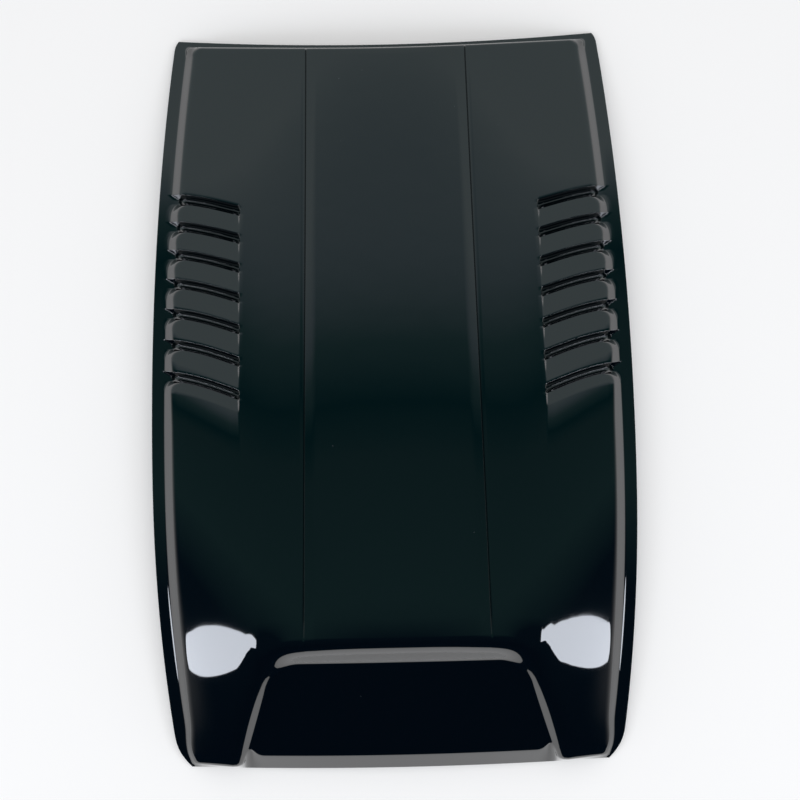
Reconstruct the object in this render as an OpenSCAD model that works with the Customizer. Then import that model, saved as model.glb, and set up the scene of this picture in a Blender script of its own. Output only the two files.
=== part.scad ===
// Bonnet scoop formed from one sheet: a crowned cover with a narrow bonding
// flange all round, a blind mouth at the front, two shallow lines along the top
// and seven gill slots down each side.
// Millimetres. X runs across, Y runs back towards the windscreen, Z is up.
// The part lies on its flange, which is arched to follow a bonnet.

/* [Overall] */
// Length from the middle of the front edge to the rear flange corners.
body_l = 900; // [860:1:940]
// Width over the flange at its widest.
body_w = 592; // [570:1:620]
// Distance of the widest place ahead of the middle.
wide_y = 110; // [60:1:160]
// Width over the flange at the rear edge.
rear_w = 517; // [500:1:535]
// Width over the flange just behind the front corners.
nose_w = 556; // [530:1:565]
// Height of the top above the bonnet where it starts to fall to the mouth.
body_h = 92; // [82:0.5:104]
// Thickness of the sheet.
sheet = 3; // [2:0.1:4]

/* [Outline] */
// How far the rear flange corners stand behind the middle of the rear edge.
rear_hollow = 12; // [4:0.5:18]
// How far the front edge bulges ahead of the front corners.
front_bulge = 4; // [2:0.5:8]
// How far each front corner is drawn in.
corner_in = 15; // [10:0.5:20]
// Length of flange over which a front corner is drawn in.
corner_l = 42; // [30:1:55]
// How far each rear corner of the flange is drawn in.
rear_corner_in = 4; // [2:0.5:7]
// Length of flange over which a rear corner is drawn in.
rear_corner_l = 14; // [8:1:22]
// Radius of the rear corners of the raised body.
rear_corner_r = 11; // [6:0.5:16]

/* [Flange] */
// Width of the flange along the sides.
flange_w = 14.5; // [10:0.5:18]
// Width of the flange at the rear.
flange_rear_w = 7; // [6:0.5:10]
// Width that is left of the flange at the front corners.
flange_nose_w = 2.4; // [2:0.1:5]
// Length over which the flange narrows to the front corners.
flange_taper_l = 60; // [45:1:80]
// Rise of the flange under the middle of each side.
arch_l = 20; // [8:0.5:28]
// Rise of the flange edge at the middle of the front and the rear.
arch_w = 10; // [4:0.5:14]
// Size of the fold between the walls and the flange.
foot_fold = 2.4; // [1.6:0.1:3.2]

/* [Side walls] */
// Height of the side wall at its tallest.
wall_h = 13.5; // [11:0.5:18]
// Height of the side wall at the front corner.
wall_front_h = 7; // [5:0.5:10]
// Height of the side wall at the rear corner.
wall_rear_h = 12; // [9:0.5:15]
// Lean of the side walls away from upright, degrees.
side_lean = 45; // [39:0.5:50]
// Lean of the rear wall away from upright, degrees.
rear_lean = 5; // [3:0.5:10]
// Size of the rounded fold between the top and the walls.
top_fold = 5; // [3.5:0.1:6.5]

/* [Top] */
// Height of the top above the bonnet at the middle of the rear edge.
rear_h = 42; // [38:0.5:50]
// Height the nose would have at its front if it had no mouth.
nose_h = 50; // [45:0.5:56]
// Length of the nose, from the front edge to the start of its fall.
nose_l = 185; // [175:1:200]
// How late the nose falls: a higher value keeps it level for longer.
nose_power = 2.4; // [2.1:0.05:3]
// How level the top is across: a higher value keeps it level for longer.
crown_power = 2.8; // [2.3:0.05:3.3]
// How strongly the top sweeps down between nose and rear, 0 is straight.
sweep = 0.35; // [0:0.05:0.6]

/* [Lines along the top] */
// Distance of each line from the middle, at the rear.
line_rear_x = 96; // [85:0.5:105]
// Distance of each line from the middle, at the front.
line_front_x = 111; // [100:0.5:120]
// Width of each line.
line_w = 2.6; // [2:0.1:4]
// Depth of each line.
line_d = 1.1; // [0.8:0.1:2]

/* [Mouth] */
// Depth of the front strip, from the front edge back to the mouth floor.
strip_w = 21; // [17:0.5:25]
// Depth of the front strip ahead of the legs beside the mouth.
leg_strip_w = 7; // [5:0.5:10]
// Height of the mouth floor above the bonnet at its front.
floor_front_h = 31; // [27:0.5:34]
// Height of the mouth floor above the bonnet at its back.
floor_rear_h = 62; // [57:0.5:67]
// Distance of the back of the mouth floor behind the front edge.
floor_l = 136; // [130:0.5:142]
// Half width of the mouth floor at its back.
floor_half_w = 146; // [138:0.5:152]
// Spread of each side of the mouth floor for each unit of length.
floor_spread = 0.34; // [0.25:0.01:0.38]
// How far the mouth floor falls from its middle to its front corners.
floor_crown = 4; // [1:0.5:6]
// Radius of the back corners of the mouth.
mouth_r = 24; // [16:0.5:30]
// Rise of the wall under the lip for each unit of its depth.
lip_slope = 1; // [0.85:0.05:1.3]
// Rise of the side walls of the mouth for each unit of width, at the back.
cheek_slope = 1.3; // [1.15:0.05:1.6]
// Rise of the side walls of the mouth for each unit of width, at the front.
cheek_front_slope = 1.2; // [1:0.05:1.5]
// Softness of the rolled lip round the mouth.
lip_roll = 12; // [9:0.5:14]
// Size of the fold round the foot of the mouth walls.
mouth_fold = 3; // [1.5:0.1:4.5]

/* [Gills] */
// Number of slots down each side.
slot_n = 7; // [5:1:7]
// Distance of the rear edge of the first slot behind the middle.
slot_y = 235.5; // [226:0.5:244]
// Pitch between the two rearmost slots.
slot_pitch = 34; // [32:0.5:35]
// Growth of the pitch from one slot to the next.
slot_grow = 1.2; // [0.6:0.1:1.4]
// Width of each slot from blade to blade.
slot_w = 12; // [10.5:0.1:13]
// Depth of a slot at the foot of its rear wall.
slot_d = 8; // [6:0.1:9]
// Depth of a slot at its front.
slot_front_d = 5.6; // [5:0.1:6]
// Depth of the rear edge of a blade below the top.
blade_d = 3.4; // [2.6:0.1:4]
// Depth that the rear wall of a slot takes up in plan.
drop_w = 2.6; // [2:0.1:3]
// Distance of the inner ends of the first slot from the middle.
slot_rear_x = 179; // [175:0.5:183]
// Distance of the inner ends of the last slot from the middle.
slot_front_x = 183; // [179:0.5:187]
// Width of the sloped wall at the inner end of each slot.
slot_end_w = 3.2; // [2.6:0.1:4]
// Rearward sweep of the first slot at the side.
sweep_rear = 13.5; // [10:0.5:16]
// Rearward sweep of the last slot at the side.
sweep_front = 22; // [18:0.5:24]
// How far the foot of the side wall is set in at each slot.
gill_in = 11; // [7:0.5:12]
// Radius of the rear outer corner of each blade.
gill_r = 15; // [12:0.5:17]

/* [Colours] */
// Gloss black of the moulding.
shell_colour = "#15171a"; // colour

/* [Hidden] */

// Places along the length.
front_y = -body_l / 2;
rear_edge_y = body_l / 2 - rear_hollow;
rear_foot_y = rear_edge_y - flange_rear_w;
front_corner_y = front_y + front_bulge;
nose_y = front_y + nose_l;
floor_front_y = front_y + strip_w;
floor_rear_y = front_y + floor_l;
front_slot_y = slot_at(slot_n - 1) - slot_w;

// Share of the wall height that is lost at each end, and how late.
wall_peak_y = body_l / 18;
wall_rear_loss = 1 - wall_rear_h / wall_h;
wall_front_loss = 1 - wall_front_h / wall_h;
wall_front_power = 4;
// Power of the lengthways arch, which is flatter in the middle.
arch_power = 3;
// Power of the curve that carries the rows across the body.
bow_power = 2;
// Power of the curve that draws in a front corner.
corner_power = 2.5;
// Power of the curve that sinks a blade towards its rear edge.
blade_power = 1.4;
// Smallest step that is kept between neighbouring rows and columns.
step_y = 0.8;
step_x = 1.2;
// Lowest that a side wall may get beside a slot.
least_wall = 4;
// Slopes of the top where it meets the side walls of the mouth and the lip.
cheek_top_slope = 0.45;
lip_top_slope = 0.4;
// Narrowest a side wall of the mouth may get.
least_cheek_w = 7;
// Width of the top inside the slots where its columns lie closer.
slot_lead = 34;
// How much deeper the front strip is at the corners of the mouth floor, and
// how far it has narrowed on the first two columns of a leg.
strip_corner = 1.3;
strip_shares = [0.35, 0.8];
// Set-back of the lower front edge and share of the sheet left at its top.
edge_set = 0.8;
edge_share = 0.6;
// Shares of the mouth floor and of the lip wall at which rows lie.
floor_at = [0, 0.1, 0.2, 0.38, 0.58, 0.75, 0.89];
lip_at = [0, 0.3, 0.6, 0.9, 1.25, 1.7];
// Reach of the round back corners of the mouth, in widths of the lip wall.
round_start = 1.7;
round_l = 2;
// Longest a mitred corner of the underside may be, in sheet thicknesses.
mitre = 1.2;
// Shares of the blade length at which the round outer corner is drawn.
round_at = [0.24, 0.54, 1];

function clamp01(v) = min(1, max(0, v));
function ease(v) = let (c = clamp01(v)) c * c * (3 - 2 * c);
function mix(a, b, t) = a + (b - a) * t;
function unit(v) = v / max(norm(v), 1e-9);

// Half width over the flange, without and with its rear corners drawn in.
function side_x(y) =
    body_w / 2
    - (y > -wide_y
        ? (body_w - rear_w) / 2 * pow((y + wide_y) / (body_l / 2 + wide_y), 2)
        : (body_w - nose_w) / 2
            * pow((y + wide_y) / (front_corner_y + corner_l + wide_y), 2))
    - corner_in * pow(clamp01((front_corner_y + corner_l - y) / corner_l), corner_power);
function flange_x(y) =
    side_x(y)
    - rear_corner_in
        * pow(clamp01((y - body_l / 2 + rear_corner_l) / rear_corner_l), corner_power);

// Width of the flange.
function flange_at(y) =
    mix(flange_w, flange_nose_w,
        pow(1 - clamp01((y - front_corner_y) / flange_taper_l), 2));

// Half width at the foot and at the top of the side wall.
function foot_x(y) = side_x(y) - flange_at(y);
function shoulder_x(y) = foot_x(y) - wall_at(y) * tan(side_lean);

// Height of the side wall.
function wall_at(y) =
    wall_h
    * (1 - wall_rear_loss * pow(max(0, y - wall_peak_y) / (body_l / 2 - wall_peak_y), 2))
    * (1 - wall_front_loss
        * pow(max(0, wall_peak_y - y) / (wall_peak_y - front_corner_y), wall_front_power));

// Underside of the flange, and the top of the sheet on it.
function bed_z(x, y) =
    arch_l * (1 - pow(abs(y) / (y < 0 ? -front_corner_y : body_l / 2), arch_power))
    + arch_w * (1 - pow(x / flange_x(max(y, front_corner_y)), 2));
function flange_z(x, y) = bed_z(x, y) + sheet;

// Height of the shoulders and of the middle of the top.
function shoulder_z(y) = flange_z(foot_x(y), y) + wall_at(y);
fall = (body_h - rear_h) / (rear_foot_y - nose_y);
function middle_z(y) =
    y > nose_y
    ? let (t = (rear_foot_y - y) / (rear_foot_y - nose_y))
        rear_h + (body_h - rear_h) * (t - sweep * sin(360 * t) / (2 * PI))
    : let (run = nose_y - y, rise = fall * (1 - sweep))
        body_h + rise * run
        - (rise * nose_l + body_h - nose_h) * pow(run / nose_l, nose_power);
// Crowned top without mouth, lines or gills.
function top_z(x, y) =
    let (s = shoulder_z(y))
    s + (middle_z(y) - s) * (1 - pow(min(1.05, abs(x) / shoulder_x(y)), crown_power));

// Mouth: a sloping floor with walls that rise to the lip and the legs.
function floor_z(x, y) =
    mix(floor_front_h, floor_rear_h, (y - floor_front_y) / (floor_rear_y - floor_front_y))
    - floor_crown * pow(x / floor_x(floor_front_y), 2);
function floor_x(y) = floor_half_w + floor_spread * (floor_rear_y - y);
function cheek_slope_at(y) =
    mix(cheek_front_slope, cheek_slope,
        clamp01((y - floor_front_y) / (floor_rear_y - floor_front_y)));
function wall_run(d) = d <= 0 ? 0 : sqrt(d * d + mouth_fold * mouth_fold) - mouth_fold;
function mouth_z(x, y) =
    let (
        a = (abs(x) - floor_x(y)) * cos(atan(floor_spread)) + mouth_r,
        b = y - floor_rear_y + mouth_r,
        p = max(a, 0),
        q = max(b, 0),
        d = norm([p, q]) + min(max(a, b), 0) - mouth_r,
        slope = (p * p * cheek_slope_at(y) + q * q * lip_slope) / max(p * p + q * q, 1)
    )
    floor_z(x, y) + slope * wall_run(d);
function soft_min(a, b, r) =
    min(a, b) - pow(max(r - abs(a - b), 0), 2) / (4 * r);
function nose_z(x, y) = soft_min(top_z(x, y), mouth_z(x, y), lip_roll);

// Width of a mouth wall where it meets the top.
function cheek_w(y) =
    let (x = floor_x(y))
    max(least_cheek_w, (top_z(x, y) - floor_z(x, y)) / (cheek_slope_at(y) + cheek_top_slope));
lip_w = (top_z(0, floor_rear_y) - floor_rear_h) / (lip_slope + lip_top_slope);

// Gills: where the slots are, and how the rows sweep back at the sides.
function slot_at(k) = slot_y - k * slot_pitch - slot_grow * k * (k - 1) / 2;
function slot_x(y) =
    mix(slot_rear_x, slot_front_x, (slot_y - y) / (slot_y - front_slot_y));
function sweep_at(y) =
    y > slot_y ? sweep_rear * ease((rear_foot_y - y) / (rear_foot_y - slot_y))
    : y > front_slot_y
        ? mix(sweep_rear, sweep_front, (slot_y - y) / (slot_y - front_slot_y))
        : sweep_front * ease((y - nose_y) / (front_slot_y - nose_y));
function bow_at(y) = mix(front_bulge, rear_hollow, (y - front_y) / (rear_foot_y - front_y));
function inset_at(s) =
    gill_in * (1 - sqrt(1 - pow(1 - clamp01(s / gill_r), 2)));

// Rows from front to rear. Each is the height law it follows, its place on the
// middle line, how far its outer part is sunk and how far its foot is set in.
EDGE = 0;
BODY = 1;
REAR = 2;
row_gap = (front_slot_y - 2 * gill_r - nose_y) / 6;
rear_gap = (rear_foot_y - 2 * top_fold - slot_y) / 6;
function blade_rows(k) =
    let (
        rear = slot_at(k) - slot_w,
        blade_l = k < slot_n - 1 ? rear - slot_at(k + 1) : 2 * gill_r
    )
    [for (i = [len(round_at) - 1:-1:0])
        let (s = gill_r * round_at[i])
        [BODY, rear - s, blade_d * pow(1 - s / blade_l, blade_power), inset_at(s)]];
function slot_rows(k) =
    let (rear = slot_at(k), front = rear - slot_w)
    [
        [BODY, front, blade_d, gill_in],
        [BODY, front + step_y, slot_front_d, gill_in],
        [BODY, rear - drop_w, slot_d, gill_in],
        [BODY, rear, 0, 0]
    ];
rows = concat(
    [[EDGE, front_y, 0, 0]],
    [for (t = floor_at) [BODY, mix(floor_front_y, floor_rear_y, t), 0, 0]],
    [for (t = lip_at) [BODY, floor_rear_y + lip_w * t, 0, 0]],
    [for (i = [1:6]) [BODY, nose_y + row_gap * i, 0, 0]],
    [for (k = [slot_n - 1:-1:0]) each concat(blade_rows(k), slot_rows(k))],
    [for (i = [1:5]) [BODY, slot_y + rear_gap * i, 0, 0]],
    [for (i = [0:5]) [REAR, i, 0, 0]]
);
row_n = len(rows);

// Columns from the middle outwards, the same number in every row.
col_n = 19;
LEG = 9;
SLOT = 10;
FOLD_A = 13;
FOLD_B = 14;
FOLD_C = 15;
FOOT_A = 16;
FOOT_B = 17;
RIM = 18;

// Distance of each column from the middle, as far out as the shoulder.
function column_x(c, y, x_top) =
    let (
        line = mix(line_front_x, line_rear_x,
            (y - nose_y) / (rear_foot_y - nose_y)),
        w = line_w / 2,
        mouth_x = floor_x(max(min(y, floor_rear_y + lip_w), floor_front_y)),
        cheek = cheek_w(min(y, floor_rear_y)),
        g = ease((y - nose_y) / (front_slot_y - nose_y)),
        bend = max(line + 2 * w, mouth_x - mouth_r),
        a0 = mix(mouth_x, slot_x(y) - slot_lead, g),
        a1 = mix(mouth_x + cheek / 2, slot_x(y) - slot_lead / 2, g),
        b = mix(mouth_x + cheek, slot_x(y), g),
        c0 = mix(mouth_x + cheek + least_cheek_w, slot_x(y) + slot_end_w, g)
    )
    c == 0 ? 0
    : c == 1 ? line / 2
    : c == 2 ? line - w
    : c == 3 ? line
    : c == 4 ? line + w
    : c == 5 ? mix(bend, mix(line, a0, 1 / 3), g)
    : c == 6 ? mix((bend + mouth_x) / 2, mix(line, a0, 2 / 3), g)
    : c == 7 ? a0
    : c == 8 ? a1
    : c == LEG ? b
    : c == SLOT ? c0
    : c == 11 ? mix(c0, x_top - top_fold, 1 / 3)
    : c == 12 ? mix(c0, x_top - top_fold, 2 / 3)
    : x_top - top_fold;

// How far a column lies along the sweep of its row.
function row_y(y, x) =
    y + bow_at(y) * pow(min(x / flange_x(y), 1), bow_power)
    + sweep_at(y) * sin(90 * clamp01((x - slot_x(y)) / (foot_x(y) - slot_x(y))));

// Carries the rows and columns round the back corners of the mouth.
function round_mouth(x, y) =
    let (
        k = cos(atan(floor_spread)),
        a = (x - floor_x(y)) * k + mouth_r,
        b = y - floor_rear_y + mouth_r,
        m = max(a, b),
        share = 1 - ease((m - mouth_r - round_start * lip_w) / (round_l * lip_w)),
        s = a > 0 && b > 0 ? mix(1, m / norm([a, b]), share) : 1,
        y2 = s < 1 ? floor_rear_y + b * s - mouth_r : y
    )
    [s < 1 ? floor_x(y2) + (a * s - mouth_r) / k : x, y2];

// Depth of the two lines, which end behind the lip and on the rear fold.
function line_z(c, y) =
    c == 3 && y > floor_rear_y + 1.5 * lip_w && y < rear_edge_y - top_fold / 2 ? line_d : 0;

// A place on the body: height of the top with the mouth, the lines and a gill.
function body_point(row, c, y0, dip, inset) =
    let (
        y_side = row_y(y0, foot_x(y0)),
        foot = foot_x(y_side) - inset,
        foot_z = flange_z(foot, y_side),
        tall = max(wall_at(y_side) - dip, least_wall),
        shoulder = foot - tall * tan(side_lean),
        x0 = column_x(c, y0, shoulder),
        xy = c < FOLD_A ? round_mouth(x0, row_y(y0, x0)) : [x0, row_y(y0, x0)],
        x = xy[0],
        y = xy[1],
        sunk = c < SLOT ? 0 : dip,
        fold = [sin(side_lean), cos(side_lean)],
        crest = [shoulder, top_z(min(shoulder, shoulder_x(y_side)), y_side) - dip],
        above = [shoulder - top_fold, top_z(shoulder - top_fold, y_side) - dip],
        below = crest + top_fold * [fold[0], -fold[1]],
        flat = foot + min(foot_fold, flange_at(y_side) / 2),
        rim = flange_x(y_side),
        wall = c == FOLD_B ? (above + 2 * crest + below) / 4
            : c == FOLD_C ? below
            : c == FOOT_A ? [foot, foot_z] + foot_fold * [-fold[0], fold[1]]
            : c == FOOT_B ? [flat, flange_z(flat, y_side)]
            : [rim, flange_z(rim, y_side)]
    )
    c <= FOLD_A ? [x, y, nose_z(x, y) - sunk - line_z(c, y)]
    : [wall[0], row_y(y0, wall[0]), wall[1]];

// The front strip: its lower edge, and the place where it meets the floor.
function strip_at(c) =
    c < 6 ? strip_w
    : c == 6 ? strip_w * (2 + strip_corner) / 3
    : c == 7 ? strip_w * strip_corner
    : c == 8 ? mix(strip_w, leg_strip_w, strip_shares[0])
    : c == LEG ? mix(strip_w, leg_strip_w, strip_shares[1])
    : leg_strip_w;
function front_point(c, lower) =
    let (
        p = body_point(BODY, c, floor_front_y, 0, 0),
        edge_y = front_y + front_bulge * pow(p[0] / flange_x(front_corner_y), bow_power),
        y = lower ? edge_y : edge_y + strip_at(c),
        q = body_point(BODY, c, y - (edge_y - front_y), 0, 0),
        x = min(q[0], flange_x(y) - (RIM - c) * step_x),
        low = bed_z(x, y) + sheet * mix(edge_share, 1, clamp01((c - FOLD_C) / (RIM - FOLD_C)))
    )
    lower ? [x, y, low] : [q[0], y, q[2]];

// The rear: a fold over to the rear wall, its foot and the flange behind it.
function rear_point(c, i) =
    let (
        lean = [sin(rear_lean), cos(rear_lean)],
        base = body_point(BODY, c, rear_foot_y, 0, 0),
        foot_y = c == RIM ? rear_foot_y + rear_hollow : base[1],
        foot_z = flange_z(base[0], base[1]),
        crest_z = c <= FOLD_A ? base[2] : shoulder_z(base[1]),
        crest_y = foot_y - (crest_z - foot_z) * tan(rear_lean),
        ahead = body_point(BODY, c, rear_foot_y - top_fold, 0, 0),
        drop = top_fold * (i == 0 ? 0 : i == 1 ? 0.3 : lean[1]),
        y = i == 0 ? crest_y - top_fold
            : i == 1 ? crest_y - top_fold / 4
            : i == 2 ? crest_y + top_fold * lean[0]
            : i == 3 ? foot_y - foot_fold * lean[0]
            : i == 4 ? foot_y + foot_fold
            : foot_y + flange_rear_w,
        x = c == RIM ? flange_x(y) : base[0]
    )
    [x, y,
        c >= FOOT_B || i >= 4 ? flange_z(x, y)
        : c == FOOT_A ? base[2]
        : i == 3 ? foot_z + foot_fold * lean[1]
        : i == 0 ? ahead[2]
        : min(base[2], crest_z - drop)];

// Rounds the rear corners of the raised body in plan.
function rounded(p, c, i) =
    let (
        cx = shoulder_x(rear_foot_y) - rear_corner_r,
        cy = row_y(rear_foot_y, cx) - rear_corner_r,
        a = p[0] - cx,
        b = p[1] - cy,
        share = c == RIM || i == 5 ? 0 : c >= FOOT_A || i >= 3 ? 0.5 : 1
    )
    a <= 0 || b <= 0 ? p
    : let (k = mix(1, max(a, b) / norm([a, b]), share)) [cx + a * k, cy + b * k, p[2]];

function half_point(j, c) =
    let (row = rows[j])
    j == 0 ? front_point(c, true)
    : j == 1 ? front_point(c, false)
    : row[0] == REAR ? rounded(rear_point(c, row[1]), c, row[1])
    : body_point(BODY, c, row[1], row[2], row[3]);

half = [for (j = [0:row_n - 1]) [for (c = [0:col_n - 1]) half_point(j, c)]];
wide_n = 2 * col_n - 1;
outer = [for (r = half) [for (i = [0:wide_n - 1])
    let (c = i - col_n + 1, p = r[abs(c)]) [c < 0 ? -p[0] : p[0], p[1], p[2]]]];

// The underside lies one sheet thickness below the top side, measured square
// to it. Along the rim it stands straight below.
function inner_point(j, i) =
    let (p = outer[j][i])
    j == 0 ? let (c = abs(i - col_n + 1), t = clamp01((c - FOLD_C) / (RIM - FOLD_C)))
        [p[0], p[1] + edge_set * sheet * (1 - t), bed_z(p[0], p[1])]
    : j == row_n - 1 || i == 0 || i == wide_n - 1 ? [p[0], p[1], p[2] - sheet]
    : let (
        u = unit(outer[j][i + 1] - p) + unit(p - outer[j][i - 1]),
        v = unit(outer[j + 1][i] - p) + unit(p - outer[j - 1][i]),
        n = unit(cross(u, v)),
        m = min(mitre, 4 / max(norm(u) * norm(v), 1))
    )
    p - n * sheet * m;
inner = [for (j = [0:row_n - 1]) [for (i = [0:wide_n - 1]) inner_point(j, i)]];

function at(side, j, i) = (side * row_n + j) * wide_n + i;
// Each small field is cut along its shorter diagonal.
function cut(side, j, i) =
    let (
        a = at(side, j, i), b = at(side, j, i + 1),
        c = at(side, j + 1, i + 1), d = at(side, j + 1, i),
        along = norm(outer[j + 1][i + 1] - outer[j][i])
            < norm(outer[j + 1][i] - outer[j][i + 1])
    )
    side == 0
    ? (along ? [[a, c, b], [a, d, c]] : [[a, d, b], [b, d, c]])
    : (along ? [[a, b, c], [a, c, d]] : [[a, b, d], [b, c, d]]);
fields = [for (side = [0, 1], j = [0:row_n - 2], i = [0:wide_n - 2]) each cut(side, j, i)];
function band(a, b, c, d) = [[a, b, c], [a, c, d]];
rims = concat(
    [for (i = [0:wide_n - 2]) each band(at(0, 0, i), at(0, 0, i + 1), at(1, 0, i + 1), at(1, 0, i))],
    [for (i = [0:wide_n - 2]) each band(at(0, row_n - 1, i + 1), at(0, row_n - 1, i),
        at(1, row_n - 1, i), at(1, row_n - 1, i + 1))],
    [for (j = [0:row_n - 2]) each band(at(0, j + 1, 0), at(0, j, 0), at(1, j, 0), at(1, j + 1, 0))],
    [for (j = [0:row_n - 2]) each band(at(0, j, wide_n - 1), at(0, j + 1, wide_n - 1),
        at(1, j + 1, wide_n - 1), at(1, j, wide_n - 1))]
);

module scoop_shell() {
    color(shell_colour)
        polyhedron(
            points = [for (skin = [outer, inner], r = skin, p = r) p],
            faces = concat(fields, rims),
            convexity = 8
        );
}

scoop_shell();
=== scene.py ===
import math
import bpy
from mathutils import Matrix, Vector


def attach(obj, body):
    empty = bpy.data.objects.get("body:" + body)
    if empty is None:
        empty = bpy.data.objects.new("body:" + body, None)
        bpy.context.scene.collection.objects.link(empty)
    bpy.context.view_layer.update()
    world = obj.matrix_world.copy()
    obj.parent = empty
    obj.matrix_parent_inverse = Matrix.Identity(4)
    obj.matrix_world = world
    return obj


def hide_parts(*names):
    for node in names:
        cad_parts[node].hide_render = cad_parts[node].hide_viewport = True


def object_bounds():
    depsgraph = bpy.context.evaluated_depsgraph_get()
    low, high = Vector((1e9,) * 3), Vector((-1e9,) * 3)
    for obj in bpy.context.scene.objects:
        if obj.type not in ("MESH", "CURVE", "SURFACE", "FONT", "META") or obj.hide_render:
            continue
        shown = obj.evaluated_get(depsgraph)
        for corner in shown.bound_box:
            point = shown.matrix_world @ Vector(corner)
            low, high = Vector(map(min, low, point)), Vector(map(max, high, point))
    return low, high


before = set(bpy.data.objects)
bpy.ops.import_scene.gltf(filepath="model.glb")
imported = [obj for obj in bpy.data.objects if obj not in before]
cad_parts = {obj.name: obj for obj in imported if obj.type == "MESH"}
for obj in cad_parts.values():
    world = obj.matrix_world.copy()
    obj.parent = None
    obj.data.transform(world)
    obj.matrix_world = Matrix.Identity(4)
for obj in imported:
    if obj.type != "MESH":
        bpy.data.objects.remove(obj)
cad_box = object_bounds()

# Camera
# The scoop is seen from straight above, a little turned, as it lies on the
# ground with its mouth at the foot of the picture.
CAMERA_PLACE = (0.0087, 0.0013, 1.8)
CAMERA_TURN = math.radians(-1.25)
VIEW_W = 0.990
SENSOR = 36
camera_data = bpy.data.cameras.new("camera")
camera_data.sensor_width = SENSOR
camera_data.lens = SENSOR * CAMERA_PLACE[2] / VIEW_W
camera = bpy.data.objects.new("camera", camera_data)
camera.location = CAMERA_PLACE
camera.rotation_euler = (0, 0, CAMERA_TURN)
bpy.context.scene.collection.objects.link(camera)
bpy.context.scene.camera = camera
bpy.context.scene.view_settings.view_transform = "Standard"

# Scoop shell
# One gloss black moulded sheet, 3 mm thick: a crowned cover with a bonding
# flange all round, a blind mouth, two lines along the top and seven gill slots
# down each side. It lies loose on its flange.

# All sizes of this section are millimetres. The sheet follows the same laws as
# the solid, on a closer net of points. No primitive can be shaped into a skin
# that is crowned, bowed and slotted in this way, so its form is worked out.
MM = 0.001
BODY_L = (cad_box[1][1] - cad_box[0][1]) / MM
BODY_W, WIDE_Y, REAR_W, NOSE_W = 592, 110, 517, 556
BODY_H, SHEET = 92, 3
REAR_HOLLOW, FRONT_BULGE = 12, 4
CORNER_IN, CORNER_L = 15, 42
REAR_CORNER_IN, REAR_CORNER_L, REAR_CORNER_R = 4, 14, 11
FLANGE_W, FLANGE_REAR_W, FLANGE_NOSE_W, FLANGE_TAPER_L = 14.5, 7, 2.4, 60
ARCH_L, ARCH_W, FOOT_FOLD = 20, 10, 2.4
WALL_H, WALL_FRONT_H, WALL_REAR_H, LEAST_WALL_H = 13.5, 7, 12, 4
SIDE_LEAN, REAR_LEAN, TOP_FOLD = math.radians(45), math.radians(5), 5
REAR_H, NOSE_H, NOSE_L, REAR_CREST_IN = 42, 50, 185, 3
NOSE_POWER, CROWN_POWER, CROWN_REACH, CORNER_POWER, SWEEP = 2.4, 2.8, 1.05, 2.5, 0.35

FRONT_Y = -BODY_L / 2
REAR_FOOT_Y = BODY_L / 2 - REAR_HOLLOW - FLANGE_REAR_W
FRONT_CORNER_Y = FRONT_Y + FRONT_BULGE
NOSE_Y = FRONT_Y + NOSE_L
WALL_PEAK_Y = BODY_L / 18


def clamp01(v):
    return min(1, max(0, v))


def ease(v):
    v = clamp01(v)
    return v * v * (3 - 2 * v)


def mix(a, b, t):
    return a + (b - a) * t


def through(a, b, c, t):
    """A place on the round curve from a to c that is drawn towards b."""
    return mix(mix(a, b, t), mix(b, c, t), t)


# Outline of the flange without and with its rear corners drawn in, the foot of
# the side walls and their height.
def side_x(y):
    if y > -WIDE_Y:
        loss = (BODY_W - REAR_W) / 2 * ((y + WIDE_Y) / (BODY_L / 2 + WIDE_Y)) ** 2
    else:
        loss = (BODY_W - NOSE_W) / 2 * ((y + WIDE_Y) / (FRONT_CORNER_Y + CORNER_L + WIDE_Y)) ** 2
    drawn_in = clamp01((FRONT_CORNER_Y + CORNER_L - y) / CORNER_L) ** CORNER_POWER
    return BODY_W / 2 - loss - CORNER_IN * drawn_in


def flange_x(y):
    drawn_in = clamp01((y - BODY_L / 2 + REAR_CORNER_L) / REAR_CORNER_L) ** CORNER_POWER
    return side_x(y) - REAR_CORNER_IN * drawn_in


def flange_w(y):
    return mix(FLANGE_W, FLANGE_NOSE_W, (1 - clamp01((y - FRONT_CORNER_Y) / FLANGE_TAPER_L)) ** 2)


def foot_x(y):
    return side_x(y) - flange_w(y)


def wall_h(y):
    back = max(0, y - WALL_PEAK_Y) / (BODY_L / 2 - WALL_PEAK_Y)
    ahead = max(0, WALL_PEAK_Y - y) / (WALL_PEAK_Y - FRONT_CORNER_Y)
    rear = 1 - (1 - WALL_REAR_H / WALL_H) * back ** 2
    front = 1 - (1 - WALL_FRONT_H / WALL_H) * ahead ** 4
    return WALL_H * rear * front


def shoulder_x(y):
    return foot_x(y) - wall_h(y) * math.tan(SIDE_LEAN)


# Heights: the arched bed that the flange follows, and the crowned top.
def bed_z(x, y):
    along = 1 - (abs(y) / (-FRONT_CORNER_Y if y < 0 else BODY_L / 2)) ** 3
    return ARCH_L * along + ARCH_W * (1 - (x / flange_x(max(y, FRONT_CORNER_Y))) ** 2)


def flange_z(x, y):
    return bed_z(x, y) + SHEET


def middle_z(y):
    """Height of the top on the middle line, along the body and down to the nose."""
    if y > NOSE_Y:
        t = (REAR_FOOT_Y - y) / (REAR_FOOT_Y - NOSE_Y)
        return REAR_H + (BODY_H - REAR_H) * (t - SWEEP * math.sin(2 * math.pi * t) / (2 * math.pi))
    fall = (BODY_H - REAR_H) / (REAR_FOOT_Y - NOSE_Y)
    run, rise = NOSE_Y - y, fall * (1 - SWEEP)
    return BODY_H + rise * run - (rise * NOSE_L + BODY_H - NOSE_H) * (run / NOSE_L) ** NOSE_POWER


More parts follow.
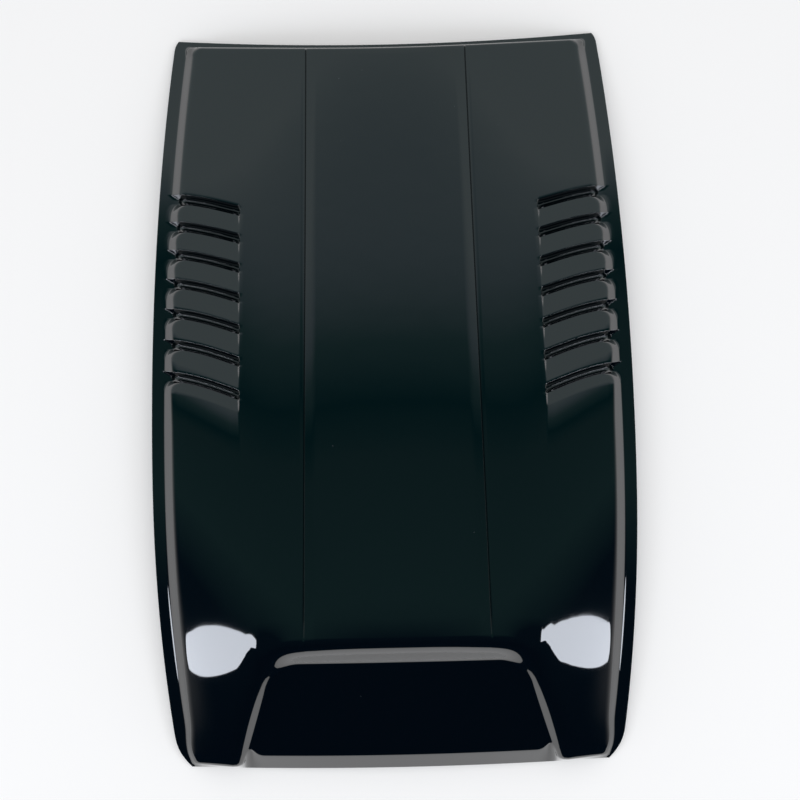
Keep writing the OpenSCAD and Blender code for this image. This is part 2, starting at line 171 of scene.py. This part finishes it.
def top_z(x, y):
    """The crowned top, whose law holds a little beyond the shoulder too."""
    shoulder = flange_z(foot_x(y), y) + wall_h(y)
    lost = min(CROWN_REACH, abs(x) / shoulder_x(y)) ** CROWN_POWER
    return shoulder + (middle_z(y) - shoulder) * (1 - lost)


# Mouth: a sloping floor whose walls rise to the rolled lip and to the legs.
STRIP_W, LEG_STRIP_W = 21, 7
FLOOR_FRONT_H, FLOOR_REAR_H, FLOOR_L = 31, 62, 136
FLOOR_HALF_W, FLOOR_SPREAD, FLOOR_CROWN = 146, 0.34, 4
MOUTH_R, MOUTH_FOLD, CORNER_EASE = 24, 3, 0.35
LIP_SLOPE, LIP_TOP_SLOPE, LIP_ROLL = 1, 0.4, 18
CHEEK_REAR_SLOPE, CHEEK_FRONT_SLOPE, CHEEK_TOP_SLOPE, LEAST_CHEEK_W = 0.95, 1.3, 0.45, 7
FLOOR_FRONT_Y = FRONT_Y + STRIP_W
FLOOR_REAR_Y = FRONT_Y + FLOOR_L
SPREAD_COS = math.cos(math.atan(FLOOR_SPREAD))


def floor_x(y):
    return FLOOR_HALF_W + FLOOR_SPREAD * (FLOOR_REAR_Y - y)


def floor_z(x, y):
    slope = mix(FLOOR_FRONT_H, FLOOR_REAR_H, (y - FLOOR_FRONT_Y) / (FLOOR_REAR_Y - FLOOR_FRONT_Y))
    return slope - FLOOR_CROWN * (x / floor_x(FLOOR_FRONT_Y)) ** 2


def cheek_slope(y):
    back = clamp01((y - FLOOR_FRONT_Y) / (FLOOR_REAR_Y - FLOOR_FRONT_Y))
    return mix(CHEEK_FRONT_SLOPE, CHEEK_REAR_SLOPE, back)


def nose_z(x, y):
    """The lower of the top and the mouth, with a rolled lip where they meet."""
    # a and b lead out from the centre of the floor's round corner, d from its edge.
    a = (abs(x) - floor_x(y)) * SPREAD_COS + MOUTH_R
    b = y - FLOOR_REAR_Y + MOUTH_R
    p, q = max(a, 0), max(b, 0)
    d = math.hypot(p, q) + min(max(a, b), 0) - MOUTH_R
    reach = max(p * p + q * q, 1)
    slope = (p * p * cheek_slope(y) + q * q * LIP_SLOPE) / reach
    slope -= CORNER_EASE * (2 * p * q / reach) ** 2
    mouth = floor_z(x, y) + slope * (math.hypot(d, MOUTH_FOLD) - MOUTH_FOLD if d > 0 else 0)
    top = top_z(x, y)
    return min(top, mouth) - max(1 - abs(top - mouth) / LIP_ROLL, 0) ** 3 * LIP_ROLL / 6


def cheek_w(y):
    """Width of the slope from the floor's edge up to the top."""
    x = floor_x(y)
    return max(LEAST_CHEEK_W, (top_z(x, y) - floor_z(x, y)) / (cheek_slope(y) + CHEEK_TOP_SLOPE))


LIP_W = (top_z(0, FLOOR_REAR_Y) - FLOOR_REAR_H) / (LIP_SLOPE + LIP_TOP_SLOPE)
LIP_REACH, LIP_FADE = 1.7 * LIP_W, 2 * LIP_W

# Gills: slots with a steep rear wall between blades whose rear edges are sunk.
SLOT_N, SLOT_Y, SLOT_PITCH, SLOT_GROW, SLOT_W = 7, 235.5, 34, 1.2, 12
SLOT_D, SLOT_FRONT_D, DROP_W = 10, 7, 6
BLADE_D, BLADE_STEP, BLADE_POWER, GILL_EDGE = 3.4, 2.4, 1.4, 0.5
SLOT_REAR_X, SLOT_FRONT_X, SLOT_END_W, SLOT_LEAD = 179, 183, 3.2, 34
SWEEP_REAR, SWEEP_FRONT, GILL_IN, GILL_R = 13.5, 22, 11, 15
slot_rears = [SLOT_Y - k * SLOT_PITCH - SLOT_GROW * k * (k - 1) / 2 for k in range(SLOT_N)]
FRONT_SLOT_Y = slot_rears[-1] - SLOT_W


def slot_x(y):
    return mix(SLOT_REAR_X, SLOT_FRONT_X, (SLOT_Y - y) / (SLOT_Y - FRONT_SLOT_Y))


def sweep_at(y):
    if y > SLOT_Y:
        return SWEEP_REAR * ease((REAR_FOOT_Y - y) / (REAR_FOOT_Y - SLOT_Y))
    if y > FRONT_SLOT_Y:
        return mix(SWEEP_REAR, SWEEP_FRONT, (SLOT_Y - y) / (SLOT_Y - FRONT_SLOT_Y))
    return SWEEP_FRONT * ease((y - NOSE_Y) / (FRONT_SLOT_Y - NOSE_Y))


def gill_cut(y):
    """How far the gills are sunk at y, and how far the wall's foot is set in there."""
    for k, rear in enumerate(slot_rears):
        front = rear - SLOT_W
        blade_l = front - slot_rears[k + 1] if k + 1 < SLOT_N else 2 * GILL_R
        if front - blade_l < y <= rear:
            if y <= front:
                s = front - y
                inset = 1 - math.sqrt(1 - (1 - clamp01(s / GILL_R)) ** 2)
                return BLADE_D * max(0, 1 - s / blade_l) ** BLADE_POWER, GILL_IN * inset
            if y < front + BLADE_STEP:
                return mix(BLADE_D, SLOT_FRONT_D, (y - front) / BLADE_STEP), GILL_IN
            if y < rear - DROP_W:
                return mix(SLOT_FRONT_D, SLOT_D, (y - front) / (SLOT_W - DROP_W)), GILL_IN
            return [v * (rear - y) / DROP_W for v in (SLOT_D, GILL_IN)]
    return 0, 0


def eased_cut(y):
    """The same with its edges rounded, as a moulding's are."""
    near = [gill_cut(y + GILL_EDGE * (t / 6 - 1)) for t in range(13)]
    return [sum(cut[i] for cut in near) / len(near) for i in (0, 1)]


# Columns run from the middle line out to where the fold to the side wall starts.
# Rows run from front to rear, bowed and swept back towards the sides.
LINE_REAR_X, LINE_FRONT_X, LINE_W, LINE_D = 96, 111, 2.6, 1.1
LINE_GAP, LINE_START_L, LINE_END_L, LINE_PAST = 1.5 * LIP_W, 8, 6, 4
LINE_COLUMN, SLOT_COLUMN = 3, 9
FOLD_LEAD, CHEEK_END_W = 1.5, 7


def lead_at(y):
    """Distance from the last column to the crest of the side wall."""
    return mix(TOP_FOLD + FOLD_LEAD, REAR_CORNER_R, ease((y - SLOT_Y) / (REAR_FOOT_Y - SLOT_Y)))


def column_places(y, crest_x):
    """The columns' distances from the middle line: g is 0 in the mouth, 1 at the gills."""
    line = mix(LINE_FRONT_X, LINE_REAR_X, (y - NOSE_Y) / (REAR_FOOT_Y - NOSE_Y))
    mouth_x = floor_x(max(min(y, FLOOR_REAR_Y + LIP_W), FLOOR_FRONT_Y))
    cheek = cheek_w(min(y, FLOOR_REAR_Y))
    g = ease((y - NOSE_Y) / (FRONT_SLOT_Y - NOSE_Y))
    bend = max(line + LINE_W, mouth_x - MOUTH_R)
    a0 = mix(mouth_x, slot_x(y) - SLOT_LEAD, g)
    end = mix(mouth_x + cheek + CHEEK_END_W, slot_x(y) + SLOT_END_W, g)
    last = crest_x - lead_at(y)
    return [
        0, line / 2, line - LINE_W / 2, line, line + LINE_W / 2,
        mix(bend, mix(line, a0, 1 / 3), g),
        mix((bend + mouth_x) / 2, mix(line, a0, 2 / 3), g),
        a0,
        mix(mouth_x + cheek / 2, slot_x(y) - SLOT_LEAD / 2, g),
        mix(mouth_x + cheek, slot_x(y), g),
        end, mix(end, last, 1 / 3), mix(end, last, 2 / 3), last,
    ]


def place_of(places, c):
    """Distance from the middle line at a column, or part of the way to the next."""
    i = min(int(c), len(places) - 2)
    return mix(places[i], places[i + 1], c - i)


def row_y(y, x):
    """Where the row that crosses the middle line at y lies at x."""
    bow = mix(FRONT_BULGE, REAR_HOLLOW, (y - FRONT_Y) / (REAR_FOOT_Y - FRONT_Y))
    swept = math.sin(math.pi / 2 * clamp01((x - slot_x(y)) / (foot_x(y) - slot_x(y))))
    return y + bow * min(x / flange_x(y), 1) ** 2 + sweep_at(y) * swept


def round_mouth(x, y):
    """Carries the rows and columns round the back corners of the mouth."""
    a = (x - floor_x(y)) * SPREAD_COS + MOUTH_R
    b = y - FLOOR_REAR_Y + MOUTH_R
    if a <= 0 or b <= 0:
        return x, y
    m = max(a, b)
    s = mix(1, m / math.hypot(a, b), 1 - ease((m - MOUTH_R - LIP_REACH) / LIP_FADE))
    y = FLOOR_REAR_Y + b * s - MOUTH_R
    return floor_x(y) + (a * s - MOUTH_R) / SPREAD_COS, y


def line_z(c, y):
    """Depth of the two lines, which start behind the lip and end on the rear fold."""
    start = (y - FLOOR_REAR_Y - LINE_GAP) / LINE_START_L
    end = (REAR_FOOT_Y + LINE_PAST - y) / LINE_END_L
    return LINE_D * ease(min(start, end)) * ease(1 - abs(c - LINE_COLUMN))


def top_point(c, y0, dip, crest_x):
    x0 = place_of(column_places(y0, crest_x), c)
    x, y = round_mouth(x0, row_y(y0, x0))
    return Vector((x, y, nose_z(x, y) - dip * ease(c - SLOT_COLUMN) - line_z(c, y)))


# Section over the edge of the top, from the last column to the flange's rim.
# A share of 0 is the last column; the fold, the wall, the foot and the flange
# start at the shares below.
FOLD, WALL, FOOT, FLANGE = 0.15, 0.4, 0.72, 0.85


def section(share, lead, crest_z, foot_z, lean, flange, top):
    """Distance beyond the crest, and height, at a share of the section."""
    foot = (crest_z - foot_z) * math.tan(lean)
    out, drop = math.sin(lean), math.cos(lean)
    below = Vector((TOP_FOLD * out, crest_z - TOP_FOLD * drop))
    above = Vector((foot - FOOT_FOLD * out, foot_z + FOOT_FOLD * drop))
    if share < FOLD:
        d = mix(-lead, -TOP_FOLD, share / FOLD)
        return Vector((d, top(d)))
    if share < WALL:
        start = Vector((-TOP_FOLD, top(-TOP_FOLD)))
        return through(start, Vector((0, crest_z)), below, (share - FOLD) / (WALL - FOLD))
    if share < FOOT:
        return mix(below, above, (share - WALL) / (FOOT - WALL))
    land = Vector((foot + min(FOOT_FOLD, flange / 2), foot_z))
    if share < FLANGE:
        return through(above, Vector((foot, foot_z)), land, (share - FOOT) / (FLANGE - FOOT))
    return mix(land, Vector((foot + flange, foot_z)), (share - FLANGE) / (1 - FLANGE))


def side_point(share, y0, dip, inset):
    y_side = row_y(y0, foot_x(y0))
    foot = foot_x(y_side) - inset
    foot_z = flange_z(foot, y_side)
    tall = max(wall_h(y_side) - dip, LEAST_WALL_H)
    crest = foot - tall * math.tan(SIDE_LEAN)
    d, z = section(
        share, lead_at(y0), foot_z + tall, foot_z, SIDE_LEAN, flange_w(y_side) + inset,
        lambda d: top_z(min(crest + d, shoulder_x(y_side)), row_y(y0, crest + d)) - dip)
    x = crest + d
    y = row_y(y0, x)
    if share >= FOOT:
        z += flange_z(min(x, flange_x(y)), y_side) - foot_z
    return Vector((x, y, z))


def rear_point(share, x, c=0):
    """The same section over the rear edge, at one column."""
    foot_z = flange_z(x, row_y(REAR_FOOT_Y, x))
    crest_z = top_z(x, row_y(REAR_FOOT_Y - REAR_CREST_IN, x))
    crest_y = REAR_FOOT_Y - (crest_z - foot_z) * math.tan(REAR_LEAN)
    d, z = section(
        share, REAR_CORNER_R, crest_z, foot_z, REAR_LEAN, FLANGE_REAR_W,
        lambda d: top_z(x, row_y(crest_y + d, x)))
    y = row_y(crest_y + d, x)
    z -= line_z(c, crest_y + d) if share < WALL else 0
    return Vector((x, y, z + (flange_z(x, y) - foot_z if share >= FOOT else 0)))


# Rear corner: the section is carried round it, along a path that is straight,
# then round, then straight again. The flange keeps its sharp corner.
CORNER_ROW = REAR_FOOT_Y - REAR_CREST_IN - REAR_CORNER_R
CORNER_FOOT_R, CORNER_RIM_R, CORNER_BOW_L = 5, 1, 8


def round_corner(w, l, r, t):
    """A place on a corner w wide and l long, from its side at 0 to its rear at 1."""
    r = min(r, w, l)
    arc = math.pi / 2 * r
    s = t * (w + l - 2 * r + arc)
    if s <= l - r:
        return w, s
    if s < l - r + arc:
        angle = (s - l + r) / r
        return w - r + r * math.cos(angle), l - r + r * math.sin(angle)
    return w - r - (s - l + r - arc), l


def corner_point(side, rear):
    share = max(side, rear)
    turn = 0.5 * rear / side if side >= rear else 1 - 0.5 * side / rear
    pivot, a = side_point(0, CORNER_ROW, 0, 0), side_point(share, CORNER_ROW, 0, 0)
    b = rear_point(share, pivot.x)
    lowered = clamp01((share - WALL) / (FOOT - WALL))
    beyond = clamp01((share - FLANGE) / (1 - FLANGE))
    r = mix(mix(REAR_CORNER_R, CORNER_FOOT_R, lowered), CORNER_RIM_R, beyond)
    w, l = round_corner(a.x - pivot.x, b.y - pivot.y, r, turn)
    x, y = pivot.x + w, pivot.y + l
    # The rows bow back towards the sides, and the flange narrows to the rear.
    if w > 0:
        bow = row_y(CORNER_ROW, x) - row_y(CORNER_ROW, pivot.x)
        y += mix(a.y - pivot.y, bow, clamp01(l / CORNER_BOW_L))
    if share >= FLANGE:
        x = min(x, flange_x(y))
    if share < FOLD:
        return Vector((x, y, top_z(x, y)))
    if share < FOOT:
        return Vector((x, y, mix(a.z, b.z, turn)))
    rise = mix(a.z - flange_z(a.x, a.y), b.z - flange_z(b.x, b.y), turn)
    return Vector((x, y, flange_z(x, y) + rise))


# Front strip: up from the sheet's lower edge to the mouth floor and the legs. It
# narrows over a cheek, counted in cheek widths, and swells at the cheek's foot.
NARROW_START, NARROW_L, SWELL_W, SWELL_L = -0.3, 1.5, 10, 2.2
EDGE_IN, EDGE_SHARE = 6, 0.6


def strip_w(x):
    u = (x - floor_x(FLOOR_FRONT_Y)) / cheek_w(FLOOR_FRONT_Y)
    swell = SWELL_W * max(0, 1 - abs(u) / SWELL_L) ** 2
    return mix(STRIP_W, LEG_STRIP_W, ease((u - NARROW_START) / NARROW_L)) + swell


def front_point(share, column, section_share):
    if section_share is None:
        start = top_point(column, FRONT_Y + STRIP_W, 0, shoulder_x(FLOOR_FRONT_Y))
        width = strip_w(start.x)
        upper = top_point(column, FRONT_Y + width, 0, shoulder_x(FRONT_Y + width))
        gap, edge = EDGE_IN, EDGE_SHARE
    else:
        width = LEG_STRIP_W
        upper = side_point(section_share, FRONT_Y + width, 0, 0)
        beyond = clamp01((section_share - WALL) / (1 - WALL))
        gap, edge = EDGE_IN * (1 - section_share), mix(EDGE_SHARE, 1, beyond)
    edge_y = upper.y - width
    x = min(upper.x, flange_x(edge_y) - gap)
    lower = Vector((x, edge_y, bed_z(x, edge_y) + SHEET * edge))
    return mix(lower, upper, share)


def net_point(c, share, y0, dip, inset, crest_x):
    """The outer face at a column or, where c is None, at a share of the section."""
    return side_point(share, y0, dip, inset) if c is None else top_point(c, y0, dip, crest_x)


def spread(a, b, n):
    """n places from a up to, but not including, b."""
    return [mix(a, b, i / n) for i in range(n)]


# The net: steps from one column to the next, steps along the section, and rows,
# which stand closest over the lip and where the gills turn.
ROW_LEAD, LIP_LEAD, SLOT_TAIL = 10, 4, 9
COLUMN_STEPS = (5, 4, 3, 4, 3, 4, 5, 5, 4, 5, 3, 3, 3)
STRIP_SHARES = (0, 0.2, 0.4, 0.6, 0.75, 0.86, 0.95, 1)
BLADE_ROWS = (1, 0.7, 0.45, 0.27, 0.14, 0.06)
STEP_ROWS = (-0.5, -0.1, 0.3, 0.7, 1.5, 2.1, 2.5, 2.9, 4.4)
DROP_ROWS = (-0.5, -0.1, 0.3, 0.8, 2.4, 4.2, 5.4, 5.7, 5.9, 6.1, 6.3, 6.7, 9.5)
columns = [c for i, n in enumerate(COLUMN_STEPS) for c in spread(i, i + 1, n)]
shares = (spread(0, FOLD, 2) + spread(FOLD, WALL, 6) + spread(WALL, FOOT, 6)
          + spread(FOOT, FLANGE, 4) + spread(FLANGE, 1, 3) + [1])
across = [(c, None) for c in columns] + [(None, share) for share in shares]

lip_start, lip_end = FLOOR_REAR_Y - LIP_LEAD, FLOOR_REAR_Y + LIP_REACH
body_rows = spread(FLOOR_FRONT_Y + ROW_LEAD, lip_start, 18)
body_rows += spread(lip_start, lip_end, 26)
body_rows += spread(lip_end, FRONT_SLOT_Y - 2 * GILL_R, 11)
for rear in reversed(slot_rears):
    body_rows += [rear - SLOT_W - GILL_R * t for t in BLADE_ROWS]
    body_rows += [rear - SLOT_W + d for d in STEP_ROWS]
    body_rows += [rear - DROP_W + d for d in DROP_ROWS]
body_rows += spread(slot_rears[0] + SLOT_TAIL, CORNER_ROW, 14)

# Front strip, the way up from it to the first row, the body, and the rear edge.
grid = [[front_point(up, c, share) for c, share in across] for up in STRIP_SHARES]
strip_top = len(grid) - 1
for up in spread(0.1, 1, 6):
    row = []
    for (c, share), upper in zip(across, grid[strip_top]):
        width = LEG_STRIP_W if c is None else strip_w(upper.x)
        y = mix(FRONT_Y + width, body_rows[0], up)
        row.append(net_point(c, share, y, 0, 0, shoulder_x(row_y(y, foot_x(y)))))
    grid.append(row)
for y0 in body_rows:
    dip, inset = eased_cut(y0)
    y_side = row_y(y0, foot_x(y0))
    tall = max(wall_h(y_side) - dip, LEAST_WALL_H)
    crest_x = foot_x(y_side) - inset - tall * math.tan(SIDE_LEAN)
    grid.append([net_point(c, share, y0, dip, inset, crest_x) for c, share in across])
corner = side_point(0, CORNER_ROW, 0, 0)
corner_columns = column_places(CORNER_ROW, corner.x + lead_at(CORNER_ROW))
for rear in shares:
    row = []
    for c, share in across:
        if c is not None:
            row.append(rear_point(rear, place_of(corner_columns, c), c))
        elif rear == 0 and share == 0:
            row.append(corner)
        else:
            row.append(corner_point(share, rear))
    grid.append(row)

# The fold between the front strip and the floor of the mouth is eased.
EASE_ROUNDS, EASE_ROWS = 3, 3
for _ in range(EASE_ROUNDS):
    for j in range(strip_top - EASE_ROWS, strip_top + EASE_ROWS):
        grid[j] = [(a + 2 * b + c) / 4 for a, b, c in zip(grid[j - 1], grid[j], grid[j + 1])]

outer = [[Vector((-p.x, p.y, p.z)) for p in reversed(row[1:])] + row for row in grid]
row_n, wide_n = len(outer), len(outer[0])


# The underside lies a sheet's thickness in, square to the face, with rounder
# folds, and straight below it along the rims. Below the front strip it is set
# back instead, over the columns between the legs.
EASE_REACH = 2.2
EDGE_BACK, EDGE_COLUMN, EDGE_COLUMNS = 0.8, 60, 12


def eased_row(j, i):
    """The outer face at a point, averaged over what lies before and behind it."""
    here, total, weight = outer[j][i], Vector((0, 0, 0)), 0
    for step in (-1, 1):
        k = j if step > 0 else j - 1
        while 0 < k < row_n - 1 and (outer[k][i] - here).length < 2 * EASE_REACH:
            gap = (outer[k + 1][i] - outer[k - 1][i]).length / 2
            w = gap * math.exp(-((outer[k][i] - here).length / EASE_REACH) ** 2)
            total, weight = total + outer[k][i] * w, weight + w
            k += step
    return total / weight if weight else here


last_j, last_i = row_n - 1, wide_n - 1
soft = [[eased_row(j, i) if 0 < j < last_j else outer[j][i] for i in range(wide_n)]
        for j in range(row_n)]
inner = []
for j in range(row_n):
    row = []
    for i in range(wide_n):
        p = outer[j][i]
        if j == 0:
            away = clamp01((abs(i - wide_n // 2) - EDGE_COLUMN) / EDGE_COLUMNS)
            row.append(Vector((p.x, p.y + EDGE_BACK * SHEET * (1 - away), bed_z(p.x, p.y))))
        elif j == last_j or i in (0, last_i):
            row.append(p - Vector((0, 0, SHEET)))
        else:
            u = soft[j][i + 1] - soft[j][i - 1]
            v = soft[j + 1][i] - soft[j - 1][i]
            row.append(soft[j][i] - u.cross(v).normalized() * SHEET)
    inner.append(row)

# The sheet is held within the size of the solid.
points = [p * MM for skin in (outer, inner) for row in skin for p in row]
fit = [min(1, cad_box[1][i] / max(p[i] for p in points)) for i in range(3)]
points = [Vector([v * f for v, f in zip(p, fit)]) for p in points]
faces = []


def at(skin, j, i):
    return (skin * row_n + j) * wide_n + i


def close_rim(j, i, next_j, next_i):
    """Joins the two skins between two neighbouring points of the rim."""
    faces.append((at(0, j, i), at(0, next_j, next_i), at(1, next_j, next_i), at(1, j, i)))


for j in range(last_j):
    for i in range(last_i):
        faces.append((at(0, j, i), at(0, j, i + 1), at(0, j + 1, i + 1), at(0, j + 1, i)))
        faces.append((at(1, j, i), at(1, j + 1, i), at(1, j + 1, i + 1), at(1, j, i + 1)))
    close_rim(j, 0, j + 1, 0)
    close_rim(j + 1, last_i, j, last_i)
for i in range(last_i):
    close_rim(0, i + 1, 0, i)
    close_rim(last_j, i, last_j, i + 1)

shell_mesh = bpy.data.meshes.new("scoop_moulding")
shell_mesh.from_pydata(points, [], faces)
shell_mesh.update()
shell = bpy.data.objects.new("scoop_moulding", shell_mesh)
bpy.context.scene.collection.objects.link(shell)
bpy.ops.object.select_all(action="DESELECT")
bpy.context.view_layer.objects.active = shell
shell.select_set(True)
bpy.ops.object.shade_smooth_by_angle(angle=math.radians(40))


def colour(code):
    """An sRGB hex colour as the linear colour that a shader takes."""
    parts = [int(code[i:i + 2], 16) / 255 for i in (1, 3, 5)]
    return [p / 12.92 if p <= 0.04045 else ((p + 0.055) / 1.055) ** 2.4 for p in parts] + [1]


def add_node(tree, kind, settings=None, values=None, links=None):
    """Adds a shader node, sets its properties and sockets and links its inputs."""
    made = tree.nodes.new(kind)
    for name, value in (settings or {}).items():
        setattr(made, name, value)
    for socket, value in (values or {}).items():
        made.inputs[socket].default_value = value
    for socket, source in (links or {}).items():
        tree.links.new(source, made.inputs[socket])
    return made


# ABS under a clear gloss lacquer: deep black, with hardly any waviness in its
# reflections, and a few specks of dust from lying in the open.
gloss = bpy.data.materials.new("lacquered_black_abs")
gloss.use_nodes = True
tree = gloss.node_tree
shader = tree.nodes["Principled BSDF"]
shader.inputs["IOR"].default_value = 1.54
shader.inputs["Coat Weight"].default_value = 1
shader.inputs["Coat IOR"].default_value = 1.55
shader.inputs["Coat Roughness"].default_value = 0.01
place = add_node(tree, "ShaderNodeTexCoord").outputs["Object"]
dust = add_node(tree, "ShaderNodeTexVoronoi", {"feature": "F1"},
                {"Scale": 1 / 0.03, "Randomness": 1}, {"Vector": place})
speck = add_node(tree, "ShaderNodeMapRange", {},
                 {"From Min": 0.008, "From Max": 0.02, "To Min": 1, "To Max": 0},
                 {"Value": dust.outputs["Distance"]})
base = add_node(tree, "ShaderNodeMix", {"data_type": "RGBA"},
                {"A": colour("#020408"), "B": colour("#4c5054")}, {"Factor": speck.outputs[0]})
tree.links.new(base.outputs["Result"], shader.inputs["Base Color"])
haze = add_node(tree, "ShaderNodeTexNoise", {}, {"Scale": 9, "Detail": 3}, {"Vector": place})
rough = add_node(tree, "ShaderNodeMapRange", {}, {"To Min": 0.02, "To Max": 0.05},
                 {"Value": haze.outputs[0]})
tree.links.new(rough.outputs[0], shader.inputs["Roughness"])
wave = add_node(tree, "ShaderNodeTexNoise", {}, {"Scale": 28, "Detail": 1}, {"Vector": place})
bump = add_node(tree, "ShaderNodeBump", {}, {"Strength": 0.06, "Distance": 0.001},
                {"Height": wave.outputs[0]})
tree.links.new(bump.outputs[0], shader.inputs["Normal"])
shell_mesh.materials.append(gloss)

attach(shell, "root")
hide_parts("scoop_shell")

# Floor and light
# A plain white studio floor under a dark ceiling that grows lighter towards
# the rear, with pale walls low at the sides and the rear. A tall, narrow, oval
# soft box stands at either side, a little ahead.
GROUND_SIZE, GROUND_DROP, GROUND_GLOW = 24, 0.0005, 0.14
bpy.ops.mesh.primitive_plane_add(size=GROUND_SIZE, location=(0, 0, -GROUND_DROP))
floor = bpy.context.object
floor.name = "floor"
floor_paint = bpy.data.materials.new("white_floor_paint")
floor_paint.use_nodes = True
floor_tree = floor_paint.node_tree
matt = floor_tree.nodes["Principled BSDF"]
matt.inputs["Base Color"].default_value = colour("#f0f0f0")
matt.inputs["Roughness"].default_value = 0.9
matt.inputs["Specular IOR Level"].default_value = 0
matt.inputs["Emission Color"].default_value = colour("#ffffff")
rays = add_node(floor_tree, "ShaderNodeLightPath")
seen = add_node(floor_tree, "ShaderNodeMath", {"operation": "MAXIMUM"}, {},
                {0: rays.outputs["Is Camera Ray"], 1: rays.outputs["Is Glossy Ray"]})
lift = add_node(floor_tree, "ShaderNodeMath", {"operation": "MULTIPLY"}, {1: GROUND_GLOW},
                {0: seen.outputs[0]})
floor_tree.links.new(lift.outputs[0], matt.inputs["Emission Strength"])
floor.data.materials.append(floor_paint)

world = bpy.data.worlds.new("studio_room")
world.use_nodes = True
bpy.context.scene.world = world
room = world.node_tree
ceiling = room.nodes["Background"]
way = add_node(room, "ShaderNodeTexCoord").outputs["Generated"]
apart = add_node(room, "ShaderNodeSeparateXYZ", {}, {}, {0: way})
# Seen in a level mirror, y / (1 + z) is the mirror's tilt along the object.
above = add_node(room, "ShaderNodeMath", {"operation": "ADD"}, {1: 1}, {0: apart.outputs["Z"]})
tilt = add_node(room, "ShaderNodeMath", {"operation": "DIVIDE"}, {},
                {0: apart.outputs["Y"], 1: above.outputs[0]})
# The light part of the ceiling reaches a little further forward at the sides. A
# level mirror shows the middle of the ramp.
MIDDLE, SIDE_REACH = 0.5, 0.022
aside = add_node(room, "ShaderNodeMath", {"operation": "ABSOLUTE"}, {}, {0: apart.outputs["X"]})
reach = add_node(room, "ShaderNodeMapRange", {"interpolation_type": "SMOOTHSTEP"},
                 {"From Min": 0, "From Max": 0.45, "To Min": MIDDLE, "To Max": MIDDLE + SIDE_REACH},
                 {"Value": aside.outputs[0]})
along = add_node(room, "ShaderNodeMath", {"operation": "ADD"}, {},
                 {0: tilt.outputs[0], 1: reach.outputs[0]})
rearward = add_node(room, "ShaderNodeValToRGB", {}, {}, {0: along.outputs[0]})
ramp = rearward.color_ramp
for rise, tint in ((-0.4, "#082030"), (-0.09, "#122c3a"), (-0.02, "#3c6060"), (0.06, "#345858"),
                   (0.09, "#12484a"), (0.118, "#466a6a"), (0.14, "#80949a"), (0.17, "#a6b6b8")):
    stop = ramp.elements.new(rise + MIDDLE)
    stop.color = colour(tint)
ramp.elements.remove(ramp.elements[0])
ramp.elements.remove(ramp.elements[-1])
# Pale walls stand low at the sides and the rear.
low = add_node(room, "ShaderNodeMapRange", {},
               {"From Min": 0, "From Max": 0.4, "To Min": 1, "To Max": 0},
               {"Value": apart.outputs["Z"]})
low_wall = add_node(room, "ShaderNodeMath", {"operation": "POWER"}, {1: 2.5}, {0: low.outputs[0]})
behind = add_node(room, "ShaderNodeMapRange", {}, {"From Min": -0.6, "From Max": -0.3},
                  {"Value": apart.outputs["Y"]})
pale = add_node(room, "ShaderNodeMath", {"operation": "MULTIPLY"}, {},
                {0: low_wall.outputs[0], 1: behind.outputs[0]})
around = add_node(room, "ShaderNodeMix", {"data_type": "RGBA"}, {"B": colour("#ffffff")},
                  {"Factor": pale.outputs[0], "A": rearward.outputs[0]})
# What the lacquer mirrors is this room; the light itself comes evenly from all round.
mirrored = add_node(room, "ShaderNodeLightPath").outputs["Is Glossy Ray"]
light = add_node(room, "ShaderNodeMix", {"data_type": "RGBA"}, {"A": colour("#e4e4e4")},
                 {"Factor": mirrored, "B": around.outputs["Result"]})
room.links.new(light.outputs["Result"], ceiling.inputs["Color"])
ceiling.inputs["Strength"].default_value = 1

BOX_PLACE, BOX_AIM, BOX_SIZE, BOX_WATTS = (2, -0.9, 1.2), (0.23, -0.3, 0), (0.36, 1.65), 10
for side in (-1, 1):
    lamp = bpy.data.lights.new("side_box", "AREA")
    lamp.shape = "ELLIPSE"
    lamp.size, lamp.size_y = BOX_SIZE
    lamp.energy = BOX_WATTS
    lamp.color = colour("#eef4ff")[:3]
    box = bpy.data.objects.new("side_box", lamp)
    place, aim = (Vector((side * x, y, z)) for x, y, z in (BOX_PLACE, BOX_AIM))
    box.location = place
    box.rotation_euler = (aim - place).to_track_quat("-Z", "Y").to_euler()
    bpy.context.scene.collection.objects.link(box)
